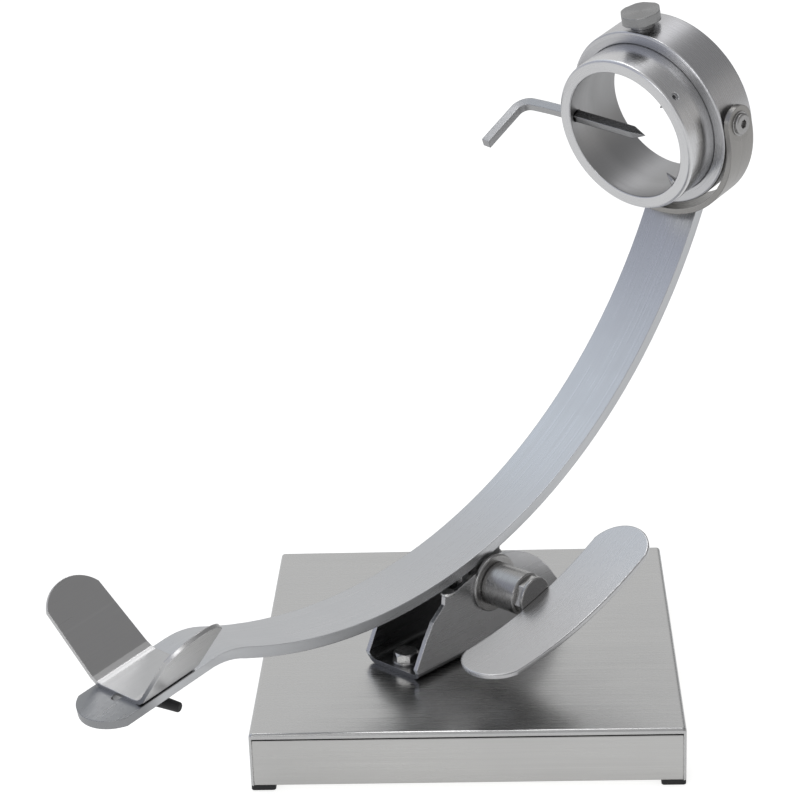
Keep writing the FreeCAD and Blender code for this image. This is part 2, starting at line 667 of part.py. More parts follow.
BAR_HALF_DIAGONAL = 6.6 / sqrt(2.0)      # square bar of the L-shaped spike
BAR_ROLL = 25.0          # a corner is rolled up from the ring axis, degrees
BAR_TURN = 4.9           # the bar rises towards its handle end, degrees
BAR_Y = -RING_DROP - 0.4
BAR_TIP, BAR_SHOULDER = 14.0, 3.0        # x of the point and of its base
BAR_CURVE_X = -62.5      # start of the gentle curve
CURVE_RADIUS, CURVE_ANGLE = 340.0, 5.13
HANDLE_BEND_R = 10.6
HANDLE_LENGTH = 38.0     # straight part


def spike_point(radius, angle):
    angle = radians(angle)
    return (radius * cos(angle), -RING_DROP + radius * sin(angle), SPIKE_Z)


def bar_turned(shape):
    """Turns a shape drawn along -x into the L-shaped spike's own line."""
    shape = shape.copy()
    shape.rotate(Vector(0, -RING_DROP, 0), Vector(0, 0, 1), -BAR_TURN)
    return shape


def inner_ring():
    back = INNER_FRONT - INNER_LENGTH
    ring = ring_cyl(INNER_R, INNER_LENGTH, back)
    ring = ring.cut(ring_cyl(INNER_BORE_R, INNER_LENGTH + 2, back - 1))
    ring = fillet(ring, 2.4, edges_where(
        ring, lambda b: b.XLength > 2 * INNER_R - 1 and b.ZMin > INNER_FRONT - TOL))
    ring = fillet(ring, 1.2, edges_where(
        ring, lambda b: abs(b.XLength - 2 * INNER_BORE_R) < 1 and b.ZMin > INNER_FRONT - TOL))
    ring = chamfer(ring, 0.8, edges_where(ring, lambda b: b.ZMax < back + TOL))
    groove = ring_cyl(80, GROOVE_WIDTH, -GROOVE_WIDTH / 2)
    ring = ring.cut(groove.cut(ring_cyl(GROOVE_R, GROOVE_WIDTH, -GROOVE_WIDTH / 2)))
    for angle in SPIKE_ANGLES:
        ring = ring.cut(cyl(SPIKE_R + 0.02, spike_point(45, angle), spike_point(65, angle)))
    bar_hole = cyl(BAR_HALF_DIAGONAL + RUN, (-70, BAR_Y, SPIKE_Z), (-45, BAR_Y, SPIKE_Z))
    return ring.cut(bar_turned(bar_hole)).removeSplitter()


def ring_spikes():
    spikes = []
    for angle in SPIKE_ANGLES:
        base = spike_point(48.5, angle)
        spike = cyl(SPIKE_R, base, spike_point(59.4, angle))
        spike = spike.fuse(cone(0.25, SPIKE_R, spike_point(41.0, angle), base))
        inward = (-cos(radians(angle)), -sin(radians(angle)), 0)
        socket = hex_prism(3.0, spike_point(60, angle), inward, 3.4)
        spikes.append(spike.cut(socket).removeSplitter())
    return Part.makeCompound(spikes)


def l_spike():
    """Square bar on its corner: pyramid point, gentle curve, bend and handle."""
    rolls = [radians(BAR_ROLL + 90 * i) for i in range(4)]
    corners = [Vector(BAR_SHOULDER, BAR_Y + BAR_HALF_DIAGONAL * sin(roll),
                      SPIKE_Z + BAR_HALF_DIAGONAL * cos(roll)) for roll in rolls]
    section = polygon(corners)
    to_curve = Vector(BAR_CURVE_X - BAR_SHOULDER, 0, 0)
    bar = section.extrude(to_curve)
    apex = Vector(BAR_TIP, BAR_Y, SPIKE_Z)
    faces = [polygon([corners[i], corners[(i + 1) % 4], apex]) for i in range(4)]
    point = Part.makeSolid(Part.makeShell(faces + [polygon(corners)]))
    if point.Volume < 0:
        point.reverse()

    bar_way = Vector(-1, 0, 0)
    handle_way = Vector(0, -0.26, 0.966)
    handle_way.normalize()
    turn_axis = bar_way.cross(handle_way)
    curve_start = section.copy()
    curve_start.translate(to_curve)
    curve_centre = Vector(BAR_CURVE_X, BAR_Y, SPIKE_Z) + handle_way * CURVE_RADIUS
    curve = curve_start.revolve(curve_centre, turn_axis, CURVE_ANGLE)
    bend_start = curve_start.copy()
    bend_start.rotate(curve_centre, turn_axis, CURVE_ANGLE)
    # square to the bar where the gentle curve ends
    angle = radians(CURVE_ANGLE)
    inward = handle_way * cos(angle) - bar_way * sin(angle)
    bend_centre = curve_centre - inward * CURVE_RADIUS + inward * HANDLE_BEND_R
    bend = bend_start.revolve(bend_centre, turn_axis, 90 - CURVE_ANGLE)
    handle_start = bend_start.copy()
    handle_start.rotate(bend_centre, turn_axis, 90 - CURVE_ANGLE)
    handle = handle_start.extrude(handle_way * HANDLE_LENGTH)
    return bar_turned(bar.fuse([point, curve, bend, handle]).removeSplitter())


# --------------------------------------------------------------- saddle (tail)
SADDLE_START = -59.5     # along the tail
SADDLE_LENGTH = 48.0
SADDLE_THICK = 3.0
SADDLE_GAP = 0.02        # above the tail's top face
FOLD_Y, FOLD_Z = 23.9, 6.33              # inner corner where a wing starts
WING_LEAN = radians(40.0)                # outwards from the vertical
# lever half of the cross-section: y, z, along the underside and back on top
SADDLE_HALF = [
    (17.0, SADDLE_GAP), (21.5, 1.0), (26.2, 4.4),
    (FOLD_Y, FOLD_Z), (20.0, 3.9), (16.0, SADDLE_THICK + SADDLE_GAP),
]
STUD_X = -33.25
STUD_R = 3.0
KNOB_TOP = -TAIL_THICK - 1.7
KNOB_HEIGHT = 11.5


def at_stud(z):
    return (STUD_X, 0, z)


def wing(side, length, cap, taper):
    """Leaning plate with an arc end; its edge nearer the base draws in by taper."""
    up = Vector(0, side * sin(WING_LEAN), cos(WING_LEAN))
    normal = Vector(0, -side * cos(WING_LEAN), sin(WING_LEAN))
    origin = Vector(SADDLE_START, side * FOLD_Y, FOLD_Z)

    def corner(along, height):
        return origin + Vector(along, 0, 0) + up * height - normal * SADDLE_THICK

    root = -1.2          # starts inside the fold
    outline = Part.Wire([
        line(corner(0, root), corner(SADDLE_LENGTH, root)),
        line(corner(SADDLE_LENGTH, root), corner(SADDLE_LENGTH, length)),
        arc(corner(SADDLE_LENGTH, length), corner((SADDLE_LENGTH + taper) / 2, length + cap),
            corner(taper, length)),
        line(corner(taper, length), corner(0, root)),
    ])
    return Part.Face(outline).extrude(normal * SADDLE_THICK)


def saddle():
    section = SADDLE_HALF + [(-y, z) for y, z in reversed(SADDLE_HALF)]
    floor = polygon([(SADDLE_START, y, z) for y, z in section])
    floor = floor.extrude(Vector(SADDLE_LENGTH, 0, 0))
    far_wing = wing(-1, length=50.5, cap=13.5, taper=4.0)
    lever_side_wing = wing(1, length=53.0, cap=15.0, taper=0.5)
    return floor.fuse([far_wing, lever_side_wing]).removeSplitter()


def saddle_stud():
    """Stud under the saddle's floor, down through the slot."""
    stud = cyl(STUD_R, at_stud(-TAIL_THICK - 15.0), at_stud(SADDLE_GAP))
    return chamfer(stud, 0.5, edges_where(stud, lambda b: b.ZMax < -TAIL_THICK - 14.0))


def saddle_washer():
    return tube(8.0, STUD_R + 0.1, at_stud(-TAIL_THICK - 1.65), at_stud(-TAIL_THICK - 0.03))


def saddle_knob():
    """Round knob with two tapered lobes."""
    bottom = KNOB_TOP - KNOB_HEIGHT
    knob = cyl(7.2, at_stud(KNOB_TOP), at_stud(bottom))
    knob = fillet(knob, 1.2, edges_where(knob, lambda b: b.ZMax < bottom + 0.1))
    lobe_turn = radians(106.0)
    for side in SIDES:
        reach_x, reach_y = side * cos(lobe_turn) * 24.5, side * sin(lobe_turn) * 24.5
        lobe = cone(4.6, 3.4, at_stud(KNOB_TOP - 6.3),
                    (STUD_X + reach_x, reach_y, KNOB_TOP - 10.2))
        tip_edges = [edge for edge in lobe.Edges
                     if isinstance(edge.Curve, Part.Circle) and edge.Curve.Radius < 3.6]
        knob = knob.fuse(fillet(lobe, 1.3, tip_edges))
    bore = cyl(STUD_R + RUN, at_stud(KNOB_TOP + 1), at_stud(KNOB_TOP - 30))
    return knob.cut(bore).removeSplitter()


# --------------------------------------------------------------------- export
# each function is named after the file it fills
PIECES = (
    (ROW_FRAME, (base_shell, front_panel, rear_panel, corner_feet, foot_screws, foot_nuts)),
    (ARM_FRAME, (base_stiffener, bracket_bolts, bracket_washers, bracket_nuts, bracket,
                 tilt_stop_pads, tilt_screw, tilt_screw_washer, clamp_disc, lever_hub,
                 lever_lock_nut, lever_end_washer, lever_plate, lever_boss, arm_bar,
                 pivot_sleeve, lug_plates)),
    (RING_FRAME, (fork, outer_ring, ring_pivot_spacers, ring_pivot_screws,
                  ring_pivot_washers, lock_bolt_boss, ring_lock_bolt, inner_ring,
                  ring_spikes, l_spike)),
    (TAIL_FRAME, (saddle, saddle_stud, saddle_washer, saddle_knob)),
)

os.makedirs("parts", exist_ok=True)
for frame, makers in PIECES:
    for make in makers:
        placed(make(), frame).exportStep("parts/%s.step" % make.__name__)
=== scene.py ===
"""A steel stand with a rectangular base and a bowed arm that tilts on a bracket.

The base lies on the floor (z = 0) and the camera looks along +Y, with +X to its right. The
arm rises back and right to a ring at its upper end; its tail carries the saddle. The lever is
on the arm's near side. The CAD pieces get materials here, and weld beads are added.
"""
import math
import random
import bpy
from mathutils import Vector, Matrix


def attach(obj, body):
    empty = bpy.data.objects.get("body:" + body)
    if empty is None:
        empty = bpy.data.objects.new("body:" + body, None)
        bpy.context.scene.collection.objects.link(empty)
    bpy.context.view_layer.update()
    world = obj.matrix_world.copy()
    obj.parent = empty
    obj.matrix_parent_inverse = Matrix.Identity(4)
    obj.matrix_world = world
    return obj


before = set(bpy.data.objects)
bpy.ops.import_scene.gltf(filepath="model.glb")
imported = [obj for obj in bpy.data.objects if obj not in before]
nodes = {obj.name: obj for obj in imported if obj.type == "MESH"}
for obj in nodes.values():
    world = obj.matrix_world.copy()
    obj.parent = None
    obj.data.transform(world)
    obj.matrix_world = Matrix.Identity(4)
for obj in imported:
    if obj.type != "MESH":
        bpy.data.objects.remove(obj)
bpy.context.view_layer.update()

random.seed(11)     # keeps any random draw repeatable
scene = bpy.context.scene

# ---------------------------------------------------------------- local frames
BASE_TOP = 0.044                    # height of the base's top face, m
ARM_HEADING = math.radians(42.0)    # from +Y towards +X
RING_TILT = math.radians(14.6)
TAIL_TILT = math.radians(9.5)

X, Y, Z = Vector((1, 0, 0)), Vector((0, 1, 0)), Vector((0, 0, 1))
ALONG = Vector((math.sin(ARM_HEADING), math.cos(ARM_HEADING), 0.0))     # towards the ring
SIDE = Vector((math.cos(ARM_HEADING), -math.sin(ARM_HEADING), 0.0))     # towards the lever


def tilted(angle):
    """The direction tailwards and down by angle, and the one square to it, upwards."""
    return (-math.cos(angle) * ALONG - math.sin(angle) * Z,
            -math.sin(angle) * ALONG + math.cos(angle) * Z)


RING_AXIS, RING_UP = tilted(RING_TILT)
TAIL_ALONG, TAIL_UP = tilted(TAIL_TILT)


def arm_point(along, side, height):
    """A place in the arm's frame, in mm, with height from the base's top face."""
    return ALONG * (along / 1000) + SIDE * (side / 1000) + Z * (height / 1000 + BASE_TOP)


# the arm's arc, mm in the arm's frame
ARC_ALONG, ARC_HEIGHT = -105.2, 454.8       # centre
ARC_RADIUS = 397.7                          # to the line of the lug welds
ARC_CENTRE = arm_point(ARC_ALONG, 0, ARC_HEIGHT)
PIVOT = arm_point(0, 0, 50)
LEVER_BOW_CENTRE = arm_point(-98.3, 0, 400.3)
RING_CENTRE = arm_point(221.2, 0, 352.7)
TAIL_START = arm_point(-340.6, 0, 78.9)


def ring_point(side, up, axial):
    """A place in the ring's frame, in mm from the ring's centre."""
    return (RING_CENTRE + SIDE * (side / 1000) + RING_UP * (up / 1000)
            + RING_AXIS * (axial / 1000))


FORK_UP = -6.0      # centre of the fork's curve in the ring's frame, mm

# texture axes: flat grain runs along the first, turned grain runs round the third
ARM_AXES = (ALONG, SIDE, Z)
SIDE_AXES = (ALONG, Z, SIDE)
RING_AXES = (SIDE, RING_UP, RING_AXIS)


# ---------------------------------------------------------------- shader helpers
class Shader:
    """Builds nodes; inputs may be sockets or plain values."""

    def __init__(self, owner, output="ShaderNodeOutputMaterial"):
        self.owner = owner
        owner.use_nodes = True
        self.tree = owner.node_tree
        self.tree.nodes.clear()
        self.output = self.node(output)

    def node(self, kind, **settings):
        made = self.tree.nodes.new(kind)
        for key, value in settings.items():
            setattr(made, key, value)
        return made

    def feed(self, socket, value):
        if isinstance(value, bpy.types.NodeSocket):
            self.tree.links.new(value, socket)
        else:
            socket.default_value = value

    def fill(self, kind, inputs, **settings):
        """A node with its inputs fed from a dict of names or indices."""
        made = self.node(kind, **settings)
        for key, value in inputs.items():
            self.feed(made.inputs[key], value)
        return made

    def vector(self, operation, a, b=None):
        inputs = {0: a}
        if b is not None:
            inputs[3 if operation == "SCALE" else 1] = b
        made = self.fill("ShaderNodeVectorMath", inputs, operation=operation)
        return made.outputs["Value" if operation == "DOT_PRODUCT" else "Vector"]

    def dot(self, a, b):
        return self.vector("DOT_PRODUCT", a, b)

    def math(self, operation, a, b=None, clamp=False):
        inputs = {0: a} if b is None else {0: a, 1: b}
        return self.fill("ShaderNodeMath", inputs, operation=operation, use_clamp=clamp).outputs[0]

    def plus(self, a, b):
        return self.math("ADD", a, b)

    def times(self, a, b):
        return self.math("MULTIPLY", a, b)

    def combine(self, x, y, z):
        return self.fill("ShaderNodeCombineXYZ", {0: x, 1: y, 2: z}).outputs[0]

    def noise(self, vector, scale, detail, rough):
        return self.fill("ShaderNodeTexNoise", {
            "Vector": vector, "Scale": scale, "Detail": detail, "Roughness": rough,
        }).outputs["Fac"]

    def ramp(self, value, span, out=(0.0, 1.0)):
        """Smooth step of value across span, giving out[0] to out[1]."""
        return self.fill("ShaderNodeMapRange", {
            "Value": value, "From Min": span[0], "From Max": span[1],
            "To Min": out[0], "To Max": out[1],
        }, interpolation_type="SMOOTHSTEP", clamp=True).outputs["Result"]

    def mix(self, factor, a, b):
        return self.fill("ShaderNodeMix", {0: factor, 6: a, 7: b}, data_type="RGBA").outputs[2]

    def rounded_edges(self, radius, sharp):
        """Bevelled normal, and a mask that is full where it strays to the cosine sharp."""
        geometry = self.node("ShaderNodeNewGeometry")
        bevel = self.fill("ShaderNodeBevel", {"Radius": radius}, samples=6)
        normal = bevel.outputs["Normal"]
        return normal, self.ramp(self.dot(normal, geometry.outputs["Normal"]),
                                 span=(0.998, sharp))

    def bump(self, height, normal, strength, distance):
        return self.fill("ShaderNodeBump", {
            "Strength": strength, "Distance": distance, "Height": height, "Normal": normal,
        }).outputs["Normal"]

    def surface(self, shader):
        self.feed(self.output.inputs["Surface"], shader.outputs[0])


def rgba(colour):
    return (*colour, 1.0)


def grey(level):
    return (level, level, level, 1.0)


def tinted(colour, factor):
    """The colour scaled by factor, held to at most 1."""
    return rgba([min(1.0, c * factor) for c in colour])


def finish_material(g, colour, inputs):
    g.surface(g.fill("ShaderNodeBsdfPrincipled", inputs))
    g.owner.diffuse_color = rgba(colour)
    return g.owner


# ---------------------------------------------------------------- steel
FINE, MEDIUM = 2600.0, 520.0    # grain frequency across the brushing, per metre


def flat_grain(g, x, y, z, direction):
    """Fine and medium grain coordinates drawn out along x, and the tangent."""
    grains = [g.combine(g.times(x, lengthwise), g.times(y, across), g.times(z, across))
              for lengthwise, across in ((14.0, FINE), (6.0, MEDIUM))]
    return grains, g.combine(*direction)


def turned_grain(g, offset, x, y, z, radius, axis, radial_grain):
    """Fine and medium grain coordinates drawn out round z, and the tangent."""
    # the angle enters as a point on a small circle, so it has no seam
    circle_radius = 0.05
    angle = g.math("ARCTAN2", y, x)
    circle_x = g.times(g.math("COSINE", angle), circle_radius)
    circle_y = g.times(g.math("SINE", angle), circle_radius)
    grains = [g.combine(g.plus(g.times(circle_x, around),
                               g.times(radius, across * radial_grain)),
                        g.times(circle_y, around), g.times(z, across))
              for around, across in ((60.0, FINE), (30.0, MEDIUM))]
    outward = g.vector("NORMALIZE", g.vector("SUBTRACT", offset, g.vector("SCALE", axis, z)))
    return grains, g.vector("CROSS_PRODUCT", axis, outward)


def paint_shade_bands(g, shade_bands, places, colour, colour_socket, roughness):
    """Painted shade in slabs of the local frame: (axis, low, high, darkness[, softness])."""
    occlusion = None
    for axis, low, high, darkness, *rest in shade_bands:
        softness = rest[0] if rest else 0.0006
        inside = g.times(g.ramp(places[axis], span=(low - softness, low + softness)),
                         g.ramp(places[axis], span=(high + softness, high - softness)))
        # crisp slabs of painted shade are darkest in recesses, by ambient occlusion; radial and
        # soft ones are even
        strength = 1.0
        if axis != "r" and softness <= 0.001:
            if occlusion is None:
                occlusion = g.fill("ShaderNodeAmbientOcclusion", {"Distance": 0.05},
                                   samples=6).outputs["AO"]
            strength = g.ramp(occlusion, span=(0.25, 0.85), out=(1.0, 0.35))
        colour_socket = g.mix(g.times(inside, strength), colour_socket,
                              rgba([c * darkness for c in colour]))
        if axis == "r":
            # the bore is duller than the outside
            roughness = g.plus(roughness, g.times(inside, 0.17))
    return colour_socket, roughness


def steel(name, colour, roughness, anisotropy, axes=ARM_AXES, origin=(0, 0, 0), turned=False,
          bump=0.12, wear=0.6, blotches=0.5, scratches=0.5, radial_grain=1.0, contrast=0.32,
          shade_bands=()):
    """Brushed steel.

    wear brightens edges, blotches and scratches scale their marks, contrast is the
    grain's darkening, radial_grain scales the grain's frequency along the radius;
    the bands are slabs of painted shade.
    """
    g = Shader(bpy.data.materials.new(name))
    place = g.node("ShaderNodeTexCoord").outputs["Object"]
    offset = g.vector("SUBTRACT", place, tuple(origin))
    x, y, z = [g.dot(offset, tuple(axis)) for axis in axes]
    places = {"x": x, "y": y, "z": z}
    if turned:
        places["r"] = g.math("SQRT", g.plus(g.times(x, x), g.times(y, y)))
        (fine, medium), tangent = turned_grain(
            g, offset, x, y, z, places["r"], tuple(axes[2]), radial_grain)
    else:
        (fine, medium), tangent = flat_grain(g, x, y, z, axes[0])

    fine_noise = g.noise(fine, scale=1.0, detail=3.0, rough=0.6)
    medium_noise = g.noise(medium, scale=1.0, detail=3.0, rough=0.6)
    broad = g.noise(place, scale=9.0, detail=4.0, rough=0.55)
    small = g.noise(place, scale=60.0, detail=5.0, rough=0.6)
    shifted = g.vector("ADD", medium, (31.0, 7.0, 3.0))    # parts scratches from the grain
    scratch = g.ramp(g.noise(shifted, scale=0.45, detail=2.0, rough=0.5), span=(0.66, 0.74))
    grain = g.plus(g.times(fine_noise, 0.6), g.times(medium_noise, 0.4))
    normal, edge = g.rounded_edges(radius=0.0009, sharp=0.90)
    edge = g.times(edge, g.ramp(small, span=(0.25, 0.6), out=(0.45, 1.0)))

    base = g.node("ShaderNodeRGB").outputs[0]
    base.default_value = rgba(colour)
    # each layer: how much of it shows, and how far it scales the colour
    shade = base
    for amount, factor in (
            (g.ramp(broad, span=(0.3, 0.7), out=(0.0, 0.5 * blotches)), 0.86),
            (g.ramp(grain, span=(0.35, 0.65), out=(0.0, contrast)), 0.80),
            (g.times(scratch, 0.35 * scratches), 1.18),
            (g.times(edge, wear), 1.22)):
        shade = g.mix(amount, shade, tinted(colour, factor))

    # roughness varies with blotches and grain; edges are polished
    rough = g.plus(roughness, g.ramp(broad, span=(0.3, 0.7),
                                     out=(-0.05 * blotches, 0.06 * blotches)))
    rough = g.plus(rough, g.ramp(grain, span=(0.3, 0.7), out=(-0.05, 0.07)))
    rough = g.plus(rough, g.ramp(small, span=(0.4, 0.7), out=(0.0, 0.04 * blotches)))
    rough = g.math("SUBTRACT", rough, g.times(edge, 0.06 * wear), clamp=True)

    # grain stands up, scratches cut in
    height = g.plus(grain, g.times(scratch, -0.35 * scratches))
    height = g.plus(height, g.times(small, 0.25))
    bumped = g.bump(height, normal, strength=bump, distance=0.0004)

    # painted shade in the listed bands
    shade, rough = paint_shade_bands(g, shade_bands, places, colour, shade, rough)
    return finish_material(g, colour, {
        "Base Color": shade, "Metallic": 1.0, "Roughness": rough,
        "Anisotropic": anisotropy, "Tangent": tangent, "Normal": bumped})


# ---------------------------------------------------------------- rubber and plastic
def soft(name, colour, roughness, bump, texture_scale):
    """Rubber or moulded plastic with fine texture, a little dust and worn edges."""
    g = Shader(bpy.data.materials.new(name))
    place = g.node("ShaderNodeTexCoord").outputs["Object"]
    texture = g.noise(place, scale=texture_scale, detail=4.0, rough=0.6)
    dust = g.noise(place, scale=35.0, detail=5.0, rough=0.6)
    normal, edge = g.rounded_edges(radius=0.0008, sharp=0.88)
    dusty = rgba([c * 1.9 + 0.015 for c in colour])
    worn = rgba([c * 2.2 + 0.02 for c in colour])
    shade = g.mix(g.ramp(dust, span=(0.4, 0.75), out=(0.0, 0.25)), rgba(colour), dusty)
    shade = g.mix(g.times(edge, 0.5), shade, worn)
    rough = g.plus(roughness, g.ramp(dust, span=(0.3, 0.7), out=(-0.08, 0.1)))
    bumped = g.bump(texture, normal, strength=bump, distance=0.0003)
    return finish_material(g, colour, {
        "Base Color": shade, "Roughness": rough, "Specular IOR Level": 0.4, "Normal": bumped})


# ---------------------------------------------------------------- materials
def about_side(origin):
    """Turned grain round an axis along SIDE."""
    return dict(turned=True, origin=origin, axes=SIDE_AXES)


def about_ring(axes=RING_AXES, up=0):
    """Turned grain round the third axis, through a place up from the ring's centre."""
    return dict(turned=True, origin=ring_point(0, up, 0), axes=axes)


MATERIALS = {
    "shell": steel("shell_brushed", (0.63, 0.63, 0.625), roughness=0.25, anisotropy=0.3,
                   axes=(X, Y, Z), bump=0.03, blotches=0.4, scratches=0.2, contrast=0.16),
    "panel": steel("panel_brushed", (0.66, 0.655, 0.64), roughness=0.30, anisotropy=0.3,
                   axes=(X, Z, Y), bump=0.03, blotches=0.4, contrast=0.20,
                   # painted shade: near black along the panel's top edge, in the gap under the lip
                   shade_bands=[("y", 0.0385, 0.05, 0.06, 0.00015)]),
    "plate": steel("plate_mill", (0.45, 0.45, 0.45), roughness=0.38, anisotropy=0.2, bump=0.1),
    "bracket": steel("bracket_brushed", (0.60, 0.60, 0.61), roughness=0.29, anisotropy=0.4,
                     origin=arm_point(0, 0, 0), axes=SIDE_AXES, bump=0.05, contrast=0.20,
                     # painted shade: dark between the side plates, darkest in recesses, and dark
                     # along the bottom next to the base
                     shade_bands=[("z", -0.0221, 0.0221, 0.16), ("y", -0.001, 0.0062, 0.22)]),
    "pad": steel("pad_satin", (0.74, 0.74, 0.73), roughness=0.30, anisotropy=0.2),
    "fastener": steel("fastener_plain", (0.58, 0.575, 0.565), roughness=0.27, anisotropy=0.1,
                      bump=0.08, blotches=0.9),
    "turned": steel("turned_lever", (0.42, 0.415, 0.41), roughness=0.24, anisotropy=0.5,
                    bump=0.06, **about_side(PIVOT)),
    "lever": steel("lever_brushed", (0.62, 0.62, 0.625), roughness=0.27, anisotropy=0.45,
                   radial_grain=0.05, bump=0.03, contrast=0.12,
                   **about_side(LEVER_BOW_CENTRE)),
    "arm": steel("arm_brushed", (0.64, 0.65, 0.665), roughness=0.29, anisotropy=0.5,
                 radial_grain=0.05, bump=0.035, contrast=0.18,
                 # painted shade: the bar's tail is darker than the rest
                 shade_bands=[("x", -0.50, -0.214, 0.52, 0.012)], **about_side(ARC_CENTRE)),
    "fork": steel("fork_brushed", (0.385, 0.375, 0.36), roughness=0.28, anisotropy=0.5,
                  bump=0.05, contrast=0.20, **about_ring(up=FORK_UP)),
    "ring": steel("ring_turned", (0.65, 0.65, 0.66), roughness=0.25, anisotropy=0.6,
                  bump=0.05, contrast=0.20, **about_ring(up=-3)),
    # the inner ring's colour is raised above the outer ring's as a painted reflection on its outer
    # face; the bands are painted shade near the outer ring, on the front face and in the bore
    "bore": steel("bore_turned", (0.80, 0.80, 0.805), roughness=0.24, anisotropy=0.6,
                  bump=0.06, contrast=0.20, **about_ring(up=-3),
                  shade_bands=[("z", -0.020, 0.0185, 0.58, 0.006), ("z", 0.0400, 0.08, 0.77),
                         ("r", -0.01, 0.0512, 0.51)]),
    "bolt": steel("bolt_turned", (0.33, 0.33, 0.33), roughness=0.27, anisotropy=0.5,
                  bump=0.06, **about_ring(axes=(SIDE, RING_AXIS, RING_UP))),
    "pivot": steel("pivot_turned", (0.46, 0.455, 0.45), roughness=0.26, anisotropy=0.5,
                   bump=0.06, **about_ring(axes=(RING_UP, RING_AXIS, SIDE))),
    "spike": steel("spike_satin", (0.44, 0.44, 0.445), roughness=0.27, anisotropy=0.3,
                   origin=ring_point(0, -2, 33), axes=RING_AXES, bump=0.05,
                   # painted shade on the spikes where they lie inside the ring
                   shade_bands=[("x", -0.0515, 0.030, 0.40)]),
    "saddle": steel("saddle_brushed", (0.62, 0.618, 0.615), roughness=0.30, anisotropy=0.4,
                    origin=TAIL_START, axes=(TAIL_ALONG, SIDE, TAIL_UP), bump=0.03,
                    contrast=0.14),
    "weld": steel("weld_bead", (0.50, 0.485, 0.46), roughness=0.34, anisotropy=0.0,
                  bump=0.35, blotches=1.0, wear=0.2),
    "rubber": soft("foot_rubber_black", (0.022, 0.022, 0.023), roughness=0.62,
                   bump=0.3, texture_scale=900.0),
    "plastic": soft("knob_plastic_black", (0.018, 0.018, 0.019), roughness=0.42,
                    bump=0.15, texture_scale=1400.0),
}

# material: the CAD pieces that wear it
PIECES = {
    "shell": "base_shell",
    "panel": "front_panel rear_panel",
    "plate": "base_stiffener lug_plates",
    "rubber": "corner_feet",
    "fastener": "foot_screws foot_nuts bracket_bolts bracket_washers bracket_nuts tilt_screw "
                "lever_lock_nut saddle_stud saddle_washer",
    "bracket": "bracket",
    "pad": "tilt_stop_pads",
    "turned": "tilt_screw_washer clamp_disc lever_hub lever_end_washer lever_boss pivot_sleeve",
    "lever": "lever_plate",
    "arm": "arm_bar",
    "fork": "fork",
    "ring": "outer_ring",
    "pivot": "ring_pivot_spacers ring_pivot_screws ring_pivot_washers",
    "bolt": "lock_bolt_boss ring_lock_bolt",
    "bore": "inner_ring",
    "spike": "ring_spikes l_spike",
    "saddle": "saddle",
    "plastic": "saddle_knob",
}
material_of = {piece: MATERIALS[key] for key, names in PIECES.items() for piece in names.split()}
for name, piece in nodes.items():
    material = material_of[name]
    if not piece.material_slots:
        piece.data.materials.append(material)
    for slot in piece.material_slots:
        slot.link = "OBJECT"
        slot.material = material


# ---------------------------------------------------------------- weld beads
def tube(name, points, radii, sides=14):
    """A closed round bead along points with its own radius at each."""
    verts, faces = [], []
    last = len(points) - 1
    up = None
    for i, point in enumerate(points):
        along = (points[min(last, i + 1)] - points[max(0, i - 1)]).normalized()
        if up is None:
            up = Z if abs(along.z) < 0.9 else X
        across = along.cross(up).normalized()
        up = across.cross(along).normalized()
        for j in range(sides):
            angle = 2 * math.pi * j / sides
            verts.append(point + (across * math.cos(angle) + up * math.sin(angle)) * radii[i])
    for i in range(last):
        here, ahead = i * sides, (i + 1) * sides
        for j in range(sides):
            k = (j + 1) % sides
            faces.append((here + j, here + k, ahead + k, ahead + j))
    faces.append(tuple(range(sides - 1, -1, -1)))
    faces.append(tuple(last * sides + j for j in range(sides)))
    mesh = bpy.data.meshes.new(name)
    mesh.from_pydata([tuple(v) for v in verts], [], faces)
    mesh.validate()
    mesh.polygons.foreach_set("use_smooth", [True] * len(mesh.polygons))
    bead = bpy.data.objects.new(name, mesh)
    scene.collection.objects.link(bead)
    return bead


def bead_radius(radius, s, length):
    """Radius at s along a bead: overlapping ripples that fade out at both ends."""
    ripple_pitch = 0.0016
    phase = (s / ripple_pitch) % 1.0
    ripple = (0.90 + 0.13 * math.sqrt(max(0.0, 1 - (2 * phase - 1) ** 2))
              + 0.05 * math.sin(s * 900))
    from_end = min(1.0, min(s, length - s) / radius)
    return radius * ripple * math.sqrt(max(0.05, 1 - (1 - from_end) ** 2))


def weld(name, path, radius):
    """A bead along path, resampled to even steps."""
    step = 0.0004
    lengths = [0.0]
    for a, b in zip(path, path[1:]):
        lengths.append(lengths[-1] + (b - a).length)
    total = lengths[-1]
    count = max(8, int(total / step))
    points, radii = [], []
    k = 0
    for i in range(count + 1):
        s = total * i / count
        while k < len(lengths) - 2 and lengths[k + 1] < s:
            k += 1
        fraction = (s - lengths[k]) / max(1e-9, lengths[k + 1] - lengths[k])
        points.append(path[k].lerp(path[k + 1], fraction))
        radii.append(bead_radius(radius, s, total))
    bead = tube(name, points, radii)
    bead.data.materials.append(MATERIALS["weld"])
    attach(bead, "arm")


# where the arm bar meets the fork, mm in the ring's frame
FORK_RADIUS = 76.8
JOINT_UP = -81.8        # height at which the axial shift is nil
JOINT_SLOPE = 0.89      # axial shift per mm of height


def fork_joint(side):
    """Height of the fork's curve at side, and the joint's axial shift there."""
    up = FORK_UP - math.sqrt(FORK_RADIUS ** 2 - side * side)
    return up, (up - JOINT_UP) * JOINT_SLOPE


def fork_face_path(axial):
    """Across the bar, on the face at axial."""
    half_width, steps = 22.5, 24
    path = []
    for i in range(steps + 1):
        side = -half_width + 2 * half_width * i / steps
        up, shift = fork_joint(side)
        path.append(ring_point(side, up - 0.3, axial - shift))
    return path


